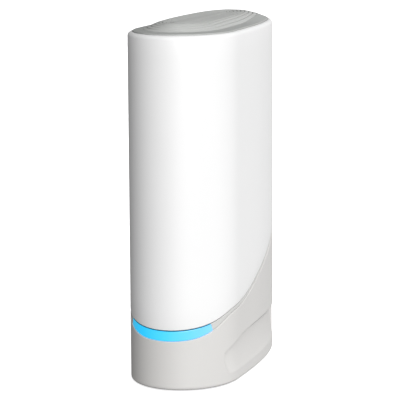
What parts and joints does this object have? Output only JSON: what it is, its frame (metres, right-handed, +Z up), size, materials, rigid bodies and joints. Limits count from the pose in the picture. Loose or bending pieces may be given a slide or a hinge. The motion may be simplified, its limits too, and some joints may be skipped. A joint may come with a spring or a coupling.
{
  "type": "cable modem",
  "caption": "Upright lens-shaped cable modem with white cover, grey base, cyan light bar, ringed top vent and rear sockets.",
  "frame": {"origin": "middle of the footprint's bounding box, on the plane of the rubber feet", "axes": "+Z up, the rounded nose with the light bar faces -Y, the connectors face +Y, +X to the right seen from the nose's side"},
  "size_m": [0.0634, 0.1438, 0.2063],
  "materials": {
    "white_plastic": "satin",
    "trim_plastic": "satin",
    "light_plastic": "translucent, lit from behind",
    "grey_plastic": "satin, fine texture",
    "panel_plastic": "fine texture",
    "vent_plastic": "satin",
    "dark_plastic": "fine texture",
    "foot_rubber": "matt",
    "zinc_steel": "zinc plated",
    "label_film": "matt film",
    "frame_plastic": "matt",
    "board_laminate": "solder mask",
    "chip_epoxy": "matt",
    "pad_silicone": "matt",
    "heatsink_aluminium": "extruded, clear anodised",
    "natural_nylon": "satin",
    "tin_steel": "bright tin",
    "nickel_plate": "nickel plated",
    "gold_plate": "gold flashed",
    "jack_plastic": "satin",
    "lens_plastic": "diffuse lens",
    "ferrite": "matt",
    "sleeve_plastic": "glossy sleeve",
    "clear_acrylic": "clear moulded"
  },
  "bodies": {
    "housing": {"front_cover": "white_plastic", "trim_band": "trim_plastic", "light_bar": "light_plastic", "base_shell": "grey_plastic", "rear_cover": "grey_plastic", "connector_panel": "panel_plastic", "top_bezel": "vent_plastic", "top_grille": "vent_plastic", "bottom_plate": "dark_plastic", "rubber_feet": "foot_rubber", "base_screws": "zinc_steel", "rating_label": "label_film", "inner_frame": "frame_plastic", "main_board": "board_laminate", "board_screws": "zinc_steel", "modem_chip": "chip_epoxy", "thermal_pad": "pad_silicone", "heatsink": "heatsink_aluminium", "heatsink_pins": "natural_nylon", "memory_chips": "chip_epoxy", "flash_chip": "chip_epoxy", "network_chip": "chip_epoxy", "tuner_chip": "chip_epoxy", "shield_frame": "tin_steel", "shield_lid": "tin_steel", "coax_body": "nickel_plate", "coax_insulator": "natural_nylon", "coax_contact": "gold_plate", "coax_washer": "nickel_plate", "coax_nut": "nickel_plate", "upper_jack_case": "tin_steel", "lower_jack_case": "tin_steel", "upper_jack_insert": "jack_plastic", "lower_jack_insert": "jack_plastic", "jack_contacts": "gold_plate", "jack_leds": "lens_plastic", "line_magnetics": "chip_epoxy", "power_jack": "jack_plastic", "power_pin": "nickel_plate", "reset_switch": "jack_plastic", "power_inductors": "ferrite", "capacitors": "sleeve_plastic", "crystal": "tin_steel", "status_leds": "lens_plastic", "light_guide": "clear_acrylic"},
    "reset_button": {"reset_plunger": "natural_nylon"}
  },
  "joints": [
    {"name": "reset_press", "type": "slide", "parent": "housing", "child": "reset_button", "axis": [0, -1, 0], "range_m": [0, 0.0005], "stiffness_N_per_m": 2000}
  ]
}
